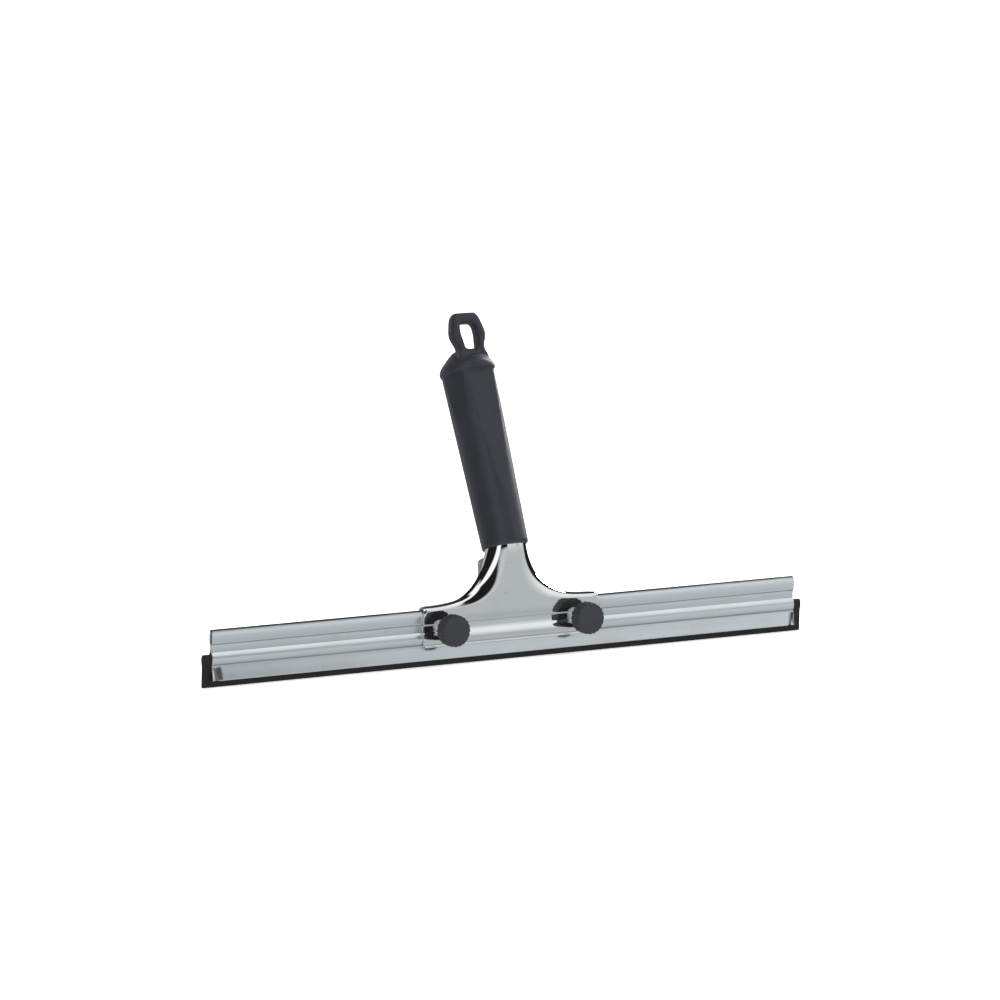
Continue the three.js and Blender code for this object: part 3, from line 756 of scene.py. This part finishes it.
# Half thickness against height above the wiping edge, in mm.
BLADE_SECTION = [
    (0, 1.02), (0.06, 1.05), (3, 1.05), (8, 1.05), (12.4, 1.05), (13.2, 1.1), (14.2, 1.2),
    (15.4, 1.5), (16.4, 1.72), (17.6, 1.8), (18.8, 1.7), (19.8, 1.35), (20.5, 0.8), (20.8, 0.2),
]


def make_blade():
    let_go()
    section = [(-t, z) for z, t in BLADE_SECTION] + [(t, z) for z, t in reversed(BLADE_SECTION)]
    section.append(section[0])
    bpy.ops.mesh.primitive_grid_add(
        x_subdivisions=BLADE_STATIONS - 1, y_subdivisions=len(section) - 1, size=2
    )
    blade = name_new("blade_strip")
    for vertex in blade.data.vertices:
        t, z = section[round((vertex.co.y + 1) / 2 * (len(section) - 1))]
        vertex.co = Vector((vertex.co.x * BLADE_HALF, t, min(z, BLADE_TOP))) * MM
    close_ends(blade)
    smooth(blade, 30)
    return blade


blade = make_blade()

# %% [markdown]
# ## Finishes as expressions
# Shader maths reads best as sums. This small class wraps a socket, so that adding or multiplying
# two sockets adds the Math node for it, and one function adds any other node from its type,
# settings and inputs.

# %% Shader maths
class Socket:
    def __init__(self, tree, socket):
        self.tree = tree
        self.socket = socket

    def math(self, operation, *others, clamp=False):
        return node(self.tree, "ShaderNodeMath", {"operation": operation, "use_clamp": clamp},
                    {i: value for i, value in enumerate((self, *others))})[0]

    def __add__(self, other):
        return self.math("ADD", other)

    def __sub__(self, other):
        return self.math("SUBTRACT", other)

    def __rsub__(self, other):
        return self.math("MULTIPLY", -1) + other

    def __mul__(self, other):
        return self.math("MULTIPLY", other)

    def __abs__(self):
        return self.math("ABSOLUTE")

    def clamped(self):
        return self.math("ADD", 0.0, clamp=True)

    def most(self, other):
        return self.math("MAXIMUM", other)

    def ramp(self, low, high):
        """0 below low, 1 above high, straight between."""
        return ((self - low) * (1 / (high - low))).clamped()


def node(tree, kind, settings=None, values=None):
    """Adds a node, sets it, fills or links its inputs, and returns its outputs."""
    made = tree.nodes.new(kind)
    for key, value in (settings or {}).items():
        if key == "stops":
            ramp = made.color_ramp
            while len(ramp.elements) < len(value):
                ramp.elements.new(0.5)
            for element, (place, colour) in zip(ramp.elements, value):
                element.position = place
                element.color = (*colour, 1)
        else:
            setattr(made, key, value)
    for key, value in (values or {}).items():
        socket = made.inputs[key]
        if isinstance(value, Socket):
            tree.links.new(value.socket, socket)
        else:
            socket.default_value = value
    return [Socket(tree, output) for output in made.outputs]


def new_material(name):
    material = bpy.data.materials.new(name)
    material.use_nodes = True
    material.node_tree.nodes.clear()
    return material, material.node_tree


def close_material(tree, **inputs):
    """The last two nodes of every finish: the shader and the output."""
    names = {key.replace("_", " "): value for key, value in inputs.items()}
    shader = node(tree, "ShaderNodeBsdfPrincipled", {}, names)[0]
    node(tree, "ShaderNodeOutputMaterial", {}, {"Surface": shader})


def place_on(tree):
    """The place on the piece, in metres: as a vector, and as x, y and z."""
    here = node(tree, "ShaderNodeTexCoord")[3]
    x, y, z = node(tree, "ShaderNodeSeparateXYZ", {}, {"Vector": here})
    return here, x, y, z


def stretched(tree, here, scale):
    return node(tree, "ShaderNodeMapping", {}, {"Vector": here, "Scale": scale})[0]


def noise(tree, here, scale, detail=3.0, roughness=0.5, distortion=0.0):
    return node(tree, "ShaderNodeTexNoise", {}, {
        "Vector": here, "Scale": scale, "Detail": detail, "Roughness": roughness,
        "Distortion": distortion,
    })[0]


def colour_mix(tree, share, first, second):
    mixed = node(tree, "ShaderNodeMix", {"data_type": "RGBA"}, {0: share})
    made = mixed[0].socket.node
    for index, value in ((6, first), (7, second)):
        if isinstance(value, Socket):
            tree.links.new(value.socket, made.inputs[index])
        else:
            made.inputs[index].default_value = (*value, 1)
    return mixed[2]


def bump(tree, height, strength, distance):
    return node(tree, "ShaderNodeBump", {}, {
        "Height": height, "Strength": strength, "Distance": distance,
    })[0]


# %% Painted shade in the creases
def crease_shade_lines(z):
    """1 in the three long creases of the pressed section, where shade is painted, 0 elsewhere."""
    lines = None
    for depth, width in ((9.35, 0.55), (14.1, 0.32), (22.3, 0.62)):
        line = 1 - (abs(z - (TOP - depth) * MM) * (1 / (width * MM))).clamped()
        lines = line if lines is None else lines.most(line)
    return lines


# %% [markdown]
# ## Chrome
# Bright chrome on pressed steel is a mirror with faults: the pressing leaves the sheet faintly
# wavy, handling leaves a light haze, and water leaves small dull spots. The waves are a bump a few
# centimetres long and very shallow, since a mirror shows the least of it.

# %% Chrome finish
def make_chrome(name, tint, rough, haze, wave, foot=False, metal=1.0):
    material, tree = new_material(name)
    here, x, y, z = place_on(tree)
    waves = noise(tree, stretched(tree, here, (1, 0.4, 1)), 42, 1.5)
    grain = noise(tree, stretched(tree, here, (1, 1, 1)), 900, 2)
    smear = noise(tree, here, 55, 4, 0.62)
    spots = noise(tree, here, 310, 2, 0.5)
    scratch = noise(tree, stretched(tree, here, (1, 1, 0.06)), 1500, 2, 0.6)
    dull = smear.ramp(0.48, 0.78) * haze + spots.ramp(0.66, 0.74) * 0.10
    shine = dull + scratch.ramp(0.62, 0.8) * 0.05 + rough
    darker = colour_mix(tree, smear.ramp(0.35, 0.75) * 0.5, tint, [c * 0.9 for c in tint])
    spots_and_crease_shade = colour_mix(tree, spots.ramp(0.68, 0.75) * 0.4, darker, [c * 0.72 for c in tint])
    # On the foot, painted shade darkens the three creases.
    if foot:
        spots_and_crease_shade = colour_mix(tree, crease_shade_lines(z) * 0.45, spots_and_crease_shade, [c * 0.35 for c in tint])
    height = waves + grain * 0.004 + scratch * 0.002
    close_material(
        tree, Base_Color=spots_and_crease_shade, Metallic=metal, Roughness=shine.clamped(),
        Normal=bump(tree, height, wave, 0.0006),
    )
    return material


chrome = make_chrome("polished chrome", (0.86, 0.87, 0.875), 0.035, 0.10, 0.12, foot=True)
collar_chrome = make_chrome("turned chrome", (0.96, 0.96, 0.95), 0.12, 0.04, 0.05, metal=0.3)

# %% [markdown]
# ## Plated steel behind
# The rear jaw is the same sheet with a thinner plating and no polish, so the sheet's own grain
# shows through and it looks warm and dull beside the front one.

# %% Dull steel
def make_steel(name, tint, rough, grain_scale, warm, metal=1.0):
    material, tree = new_material(name)
    here, x, y, z = place_on(tree)
    cloud = noise(tree, here, 60, 4, 0.6)
    grain = noise(tree, stretched(tree, here, (0.12, 1, 1)), grain_scale, 3, 0.6)
    pits = noise(tree, here, 800, 2)
    tinted = colour_mix(tree, cloud.ramp(0.35, 0.7) * 0.6, tint, warm)
    worn = colour_mix(tree, grain.ramp(0.4, 0.75) * 0.35, tinted, [c * 0.6 for c in tint])
    close_material(
        tree, Base_Color=worn, Metallic=metal,
        Roughness=(cloud * 0.16 + grain * 0.14 + rough).clamped(),
        Normal=bump(tree, grain * 0.6 + pits * 0.4, 0.35, 0.00012),
    )
    return material


rear_steel = make_steel(
    "plated steel", (0.60, 0.59, 0.54), 0.22, 1400, (0.48, 0.46, 0.40), metal=0.55
)
fixing_steel = make_steel("zinc fixing", (0.66, 0.665, 0.66), 0.20, 900, (0.6, 0.58, 0.52))

# %% [markdown]
# ## Zinc-coated channel
# The channel is roll-formed from coated strip. The rolls leave fine lines along its length, the
# coating has a cool grey colour with cloudy, slightly warm patches, and handling adds short
# scratches. Bands of painted highlight and painted shade run along it by depth below the top, in
# place of the reflections on its folds, and its three creases get painted dark lines of shade. At
# the waist it is darker and warmer in cloudy patches. Each pinch gets a painted dark reflection
# band, and the corner beside it a painted highlight.

# %% Channel finish
# The coating's cool grey, made lighter or darker against depth below the top, in mm: painted
# highlights and painted shade in bands, for the reflections on the folds and the dark top edge.
PAINTED_BAND_TONES = [
    (0.7, 0.08), (1.2, 0.62), (2.0, 1.04), (4.0, 0.86), (8.2, 0.76), (10.6, 0.86),
    (13.6, 0.70), (14.6, 1.06), (16.0, 1.02), (16.9, 0.76), (17.6, 0.60), (18.6, 0.88),
    (20.2, 0.84), (21.8, 0.60), (24.0, 0.84), (32.0, 0.98),
]
TONE_SPAN = LIP_TO + 0.5
PAINTED_BAND_COLOURS = [
    (depth / TONE_SPAN, (0.70 * tone, 0.755 * tone, 0.785 * tone)) for depth, tone in PAINTED_BAND_TONES
]


def make_zinc(name):
    material, tree = new_material(name)
    here, x, y, z = place_on(tree)
    lines = noise(tree, stretched(tree, here, (0.003, 1, 1)), 1300, 3, 0.6)
    broad = noise(tree, stretched(tree, here, (0.012, 1, 1)), 260, 3, 0.55)
    cloud = noise(tree, stretched(tree, here, (0.5, 1, 1)), 42, 4, 0.6)
    scratch = noise(tree, stretched(tree, here, (0.25, 1, 1)), 1700, 2, 0.65)
    waist = 1 - (abs(z - (TOP - 11.8) * MM) * (1 / (2.6 * MM))).clamped()
    creases = crease_shade_lines(z)
    depth = (TOP * MM - z) * (1 / (TONE_SPAN * MM)) + (broad - 0.5) * 0.02
    # The coating's colour with painted highlight and shade bands by depth below the top.
    rolled = node(tree, "ShaderNodeValToRGB", {"stops": PAINTED_BAND_COLOURS}, {"Fac": depth})[0]
    warm = (0.62, 0.585, 0.53)
    base = colour_mix(tree, cloud.ramp(0.46, 0.74) * 0.5, rolled, warm)
    lined = colour_mix(tree, broad.ramp(0.3, 0.75) * 0.25, base, (0.44, 0.49, 0.53))
    # Darker and warmer in cloudy patches at the waist.
    waist_darkened = colour_mix(tree, waist * cloud.ramp(0.4, 0.65) * 0.40, lined, (0.50, 0.46, 0.40))
    marks_and_painted_light = colour_mix(tree, scratch.ramp(0.66, 0.78) * 0.35, waist_darkened, (0.85, 0.86, 0.86))
    # Painted shade: dark lines along the three creases.
    marks_and_painted_light = colour_mix(tree, creases * 0.9, marks_and_painted_light, (0.14, 0.18, 0.22))
    # Painted shade: a dark reflection band on each pinch near the ends of the lip.
    from_end = (abs(x) * -1 + CHANNEL_HALF * MM) * (1 / MM)
    below = (z * -1 + TOP * MM) * (1 / MM)
    on_lip = below.ramp(23, 24.5)
    leaning = from_end - (below - 23) * 0.22
    pinch_painted_shade = leaning.ramp(0.3, 0.8) * (1 - leaning.ramp(1.2, 4.0)) * on_lip
    marks_and_painted_light = colour_mix(tree, pinch_painted_shade * 0.85, marks_and_painted_light, (0.07, 0.08, 0.09))
    # Painted highlight on the corner of the lip beside each pinch.
    end_painted_highlight = (1 - leaning.ramp(0.0, 0.5)) * on_lip
    marks_and_painted_light = colour_mix(tree, end_painted_highlight * 0.6, marks_and_painted_light, (0.95, 0.95, 0.94))
    rough = lines * 0.10 + cloud * 0.10 + 0.08 + waist * 0.06 - scratch.ramp(0.66, 0.78) * 0.03
    rough = rough - on_lip * 0.07
    height = lines * 0.6 + broad * 0.5 + scratch * 0.15
    close_material(
        tree, Base_Color=marks_and_painted_light, Metallic=on_lip * 0.22 + 0.70, Roughness=rough.clamped(),
        Normal=bump(tree, height, 0.28, 0.00012),
    )
    return material


channel_zinc = make_zinc("zinc coated strip")

# %% [markdown]
# ## Rubber and moulded plastic
# The grip is soft rubber from a spark-eroded mould, so it has a fine even grain, a faint sheen
# where hands polish it, and pale dust in places. The knobs are harder and flatter, and the blade
# is black with faint lines along it from the die.

# %% Soft finishes
def make_moulded(name, tint, pale, rough, grain_scale, grain_depth, sheen, stretch=(1, 1, 1)):
    material, tree = new_material(name)
    here, x, y, z = place_on(tree)
    cloud = noise(tree, here, 38, 4, 0.6)
    handled = noise(tree, here, 95, 3, 0.6)
    pores = noise(tree, stretched(tree, here, stretch), grain_scale, 3, 0.55)
    specks = noise(tree, here, 620, 2, 0.5)
    base = colour_mix(tree, cloud.ramp(0.3, 0.75) * 0.6, tint, pale)
    dusty = colour_mix(tree, specks.ramp(0.67, 0.77) * 0.35, base, [c * 2.2 for c in pale])
    shine = handled * 0.16 + pores * 0.10 + (rough - 0.13)
    close_material(
        tree, Base_Color=dusty, Roughness=shine.clamped(),
        Normal=bump(tree, pores * 0.8 + handled * 0.3, 0.5, grain_depth),
        Sheen_Weight=sheen, Sheen_Roughness=0.5, Specular_IOR_Level=0.42,
    )
    return material


grip_rubber = make_moulded(
    "grip rubber", (0.016, 0.019, 0.026), (0.024, 0.028, 0.037), 0.46, 2100, 0.00010, 0.05
)
knob_plastic = make_moulded(
    "knob plastic", (0.022, 0.023, 0.028), (0.031, 0.032, 0.038), 0.58, 2600, 0.00008, 0.03
)
blade_rubber = make_moulded(
    "blade rubber", (0.005, 0.005, 0.005), (0.009, 0.009, 0.009), 0.60, 1200, 0.00010, 0.02,
    (0.02, 1, 1),
)
core_plastic = make_moulded(
    "core plastic", (0.05, 0.05, 0.055), (0.07, 0.07, 0.075), 0.5, 1500, 0.0001, 0.0
)

# %% [markdown]
# ## Putting it together
# Every piece gets its finish, hides the CAD node it stands for, and rides on that node's body, so
# that it moves with the joints.

# %% Pieces, finishes and bodies
def settle(piece, finish, body, node_name):
    let_go()
    piece.data.materials.clear()
    piece.data.materials.append(finish)
    for face in piece.data.polygons:
        face.material_index = 0
    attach(piece, body)
    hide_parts(node_name)


settle(grip, grip_rubber, "handle", "grip")
settle(front_jaw, chrome, "handle", "front_jaw")
settle(rear_jaw, rear_steel, "rear_clamp", "rear_jaw")
settle(channel, channel_zinc, "channel", "channel")
settle(blade, blade_rubber, "blade", "blade")
for side, label in ((-1, "left"), (1, "right")):
    settle(knobs[side], knob_plastic, "knob_" + label, "knob_" + label)
    settle(screws[side], fixing_steel, "knob_" + label, "screw_" + label)
    settle(collars[side], collar_chrome, "collar_" + label, "collar_" + label)
    settle(nuts[side], fixing_steel, "rear_clamp", "nut_" + label)

carried = {"handle_core": core_plastic, "rivet_lower": fixing_steel, "rivet_upper": fixing_steel}
for name, finish in carried.items():
    for slot in nodes[name].material_slots:
        slot.material = finish
print("pieces settled")

# %% [markdown]
# ## Floor
# A plain white sweep of board. It is only there to stand on and to close the picture, so it is kept
# out of the chrome's reflections, which come from the studio round it.

# %% Floor
let_go()
bpy.ops.mesh.primitive_plane_add(size=24, location=(0, 4, -0.0005))
floor = name_new("floor")
set_place(floor)
floor_material, tree = new_material("white board")
here, x, y, z = place_on(tree)
mottle = noise(tree, here, 3.0, 3, 0.5)
board = colour_mix(tree, mottle, (0.93, 0.93, 0.93), (0.95, 0.95, 0.95))
close_material(
    tree, Base_Color=board, Roughness=0.8, Specular_IOR_Level=0.0,
    Emission_Color=board, Emission_Strength=0.55,
)
floor.data.materials.append(floor_material)
floor.visible_glossy = False

# %% [markdown]
# ## Studio
# Bright metal only shows what stands round it. The studio is a white tent, with dark flags to the
# side and above: the flat of the jaw faces the light wall, and its rolled edges turn past the
# flags and so get their dark bands. Diffuse light doesn't need that pattern, so only the glossy
# rays see it.

# %% Studio light
world = bpy.data.worlds.new("studio")
bpy.context.scene.world = world
world.use_nodes = True
tree = world.node_tree
tree.nodes.clear()
ray = node(tree, "ShaderNodeTexCoord")[0]
x, y, z = node(tree, "ShaderNodeSeparateXYZ", {}, {"Vector": ray})
side_angle = x.math("ARCTAN2", y * -1) * (180 / math.pi)
rise = z.clamped().math("ARCSINE") * (180 / math.pi) + (z * -1).clamped().math("ARCSINE") * (
    -180 / math.pi
)


def band(value, low, high, soft):
    """1 between low and high, falling to 0 over soft on each side."""
    return value.ramp(low - soft, low + soft) * (1 - value.ramp(high - soft, high + soft))


LIGHT = (0.42, 0.445, 0.455)
UPPER = (0.90, 0.92, 0.93)
WHITE = (1.15, 1.15, 1.14)
WARM = (0.40, 0.385, 0.35)
DARK = (0.012, 0.012, 0.014)
murk = noise(tree, ray, 2.2, 2, 0.5)
front_flag = band(side_angle, -22, 13, 3) * band(rise, 1, 40, 4)
wedge_flag = band(side_angle, -22, 29.5, 2) * band(rise, 1, 48, 3)
side_flag = band(side_angle, -136, -54, 3) * (1 - rise.ramp(50, 70))
overhead_flag = rise.ramp(54, 60) * x.ramp(0.44, 0.50)
right_flag = band(side_angle, 75, 128, 4)
behind_flag = y.ramp(0.0, 0.1) * band(rise, 24, 84, 4)
left_wall = band(side_angle, -50, -24, 3)
overhead = rise.ramp(46, 58) * (1 - x.ramp(0.44, 0.50))
top_flag = rise.ramp(66, 72) * x.ramp(-0.06, 0.02)
dark_share = front_flag.most(wedge_flag).most(side_flag).most(overhead_flag).most(top_flag)
dark_share = dark_share.most(right_flag).most(behind_flag)
upper_share = (rise.ramp(-14, 26) + murk.ramp(0.35, 0.7) * 0.30).clamped()
studio = colour_mix(tree, upper_share, LIGHT, UPPER)
studio = colour_mix(tree, left_wall.most(overhead), studio, WHITE)
studio = colour_mix(tree, abs(side_angle).ramp(134, 140) * 0.8, studio, WARM)
studio = colour_mix(tree, dark_share, studio, DARK)
seen = node(tree, "ShaderNodeLightPath")
is_glossy = seen[3]
plain = (1.0, 1.0, 1.0)
sky = colour_mix(tree, is_glossy, plain, studio)
background = node(tree, "ShaderNodeBackground", {}, {"Color": sky, "Strength": 1.0})[0]
node(tree, "ShaderNodeOutputWorld", {}, {"Surface": background})

# %% [markdown]
# Two large soft boxes shape the matt pieces: one high on the right, one low and weak on the left.

# %% Soft boxes
def soft_box(name, place, size, power, glossy):
    lamp = bpy.data.lights.new(name, "AREA")
    lamp.shape = "RECTANGLE"
    lamp.size, lamp.size_y = size
    lamp.energy = power
    box = bpy.data.objects.new(name, lamp)
    box.location = place
    box.rotation_euler = (AIM - Vector(place)).to_track_quat("-Z", "Y").to_euler()
    box.visible_glossy = glossy
    bpy.context.scene.collection.objects.link(box)
    return box


soft_box("key", (1.2, -0.9, 1.9), (1.2, 1.2), 10, False)
soft_box("fill", (-1.8, -1.6, 0.8), (1.4, 1.0), 3, False)
soft_box("edge", (1.7, 0.75, 0.85), (0.25, 1.2), 27, True)
bpy.context.scene.view_settings.view_transform = "Standard"
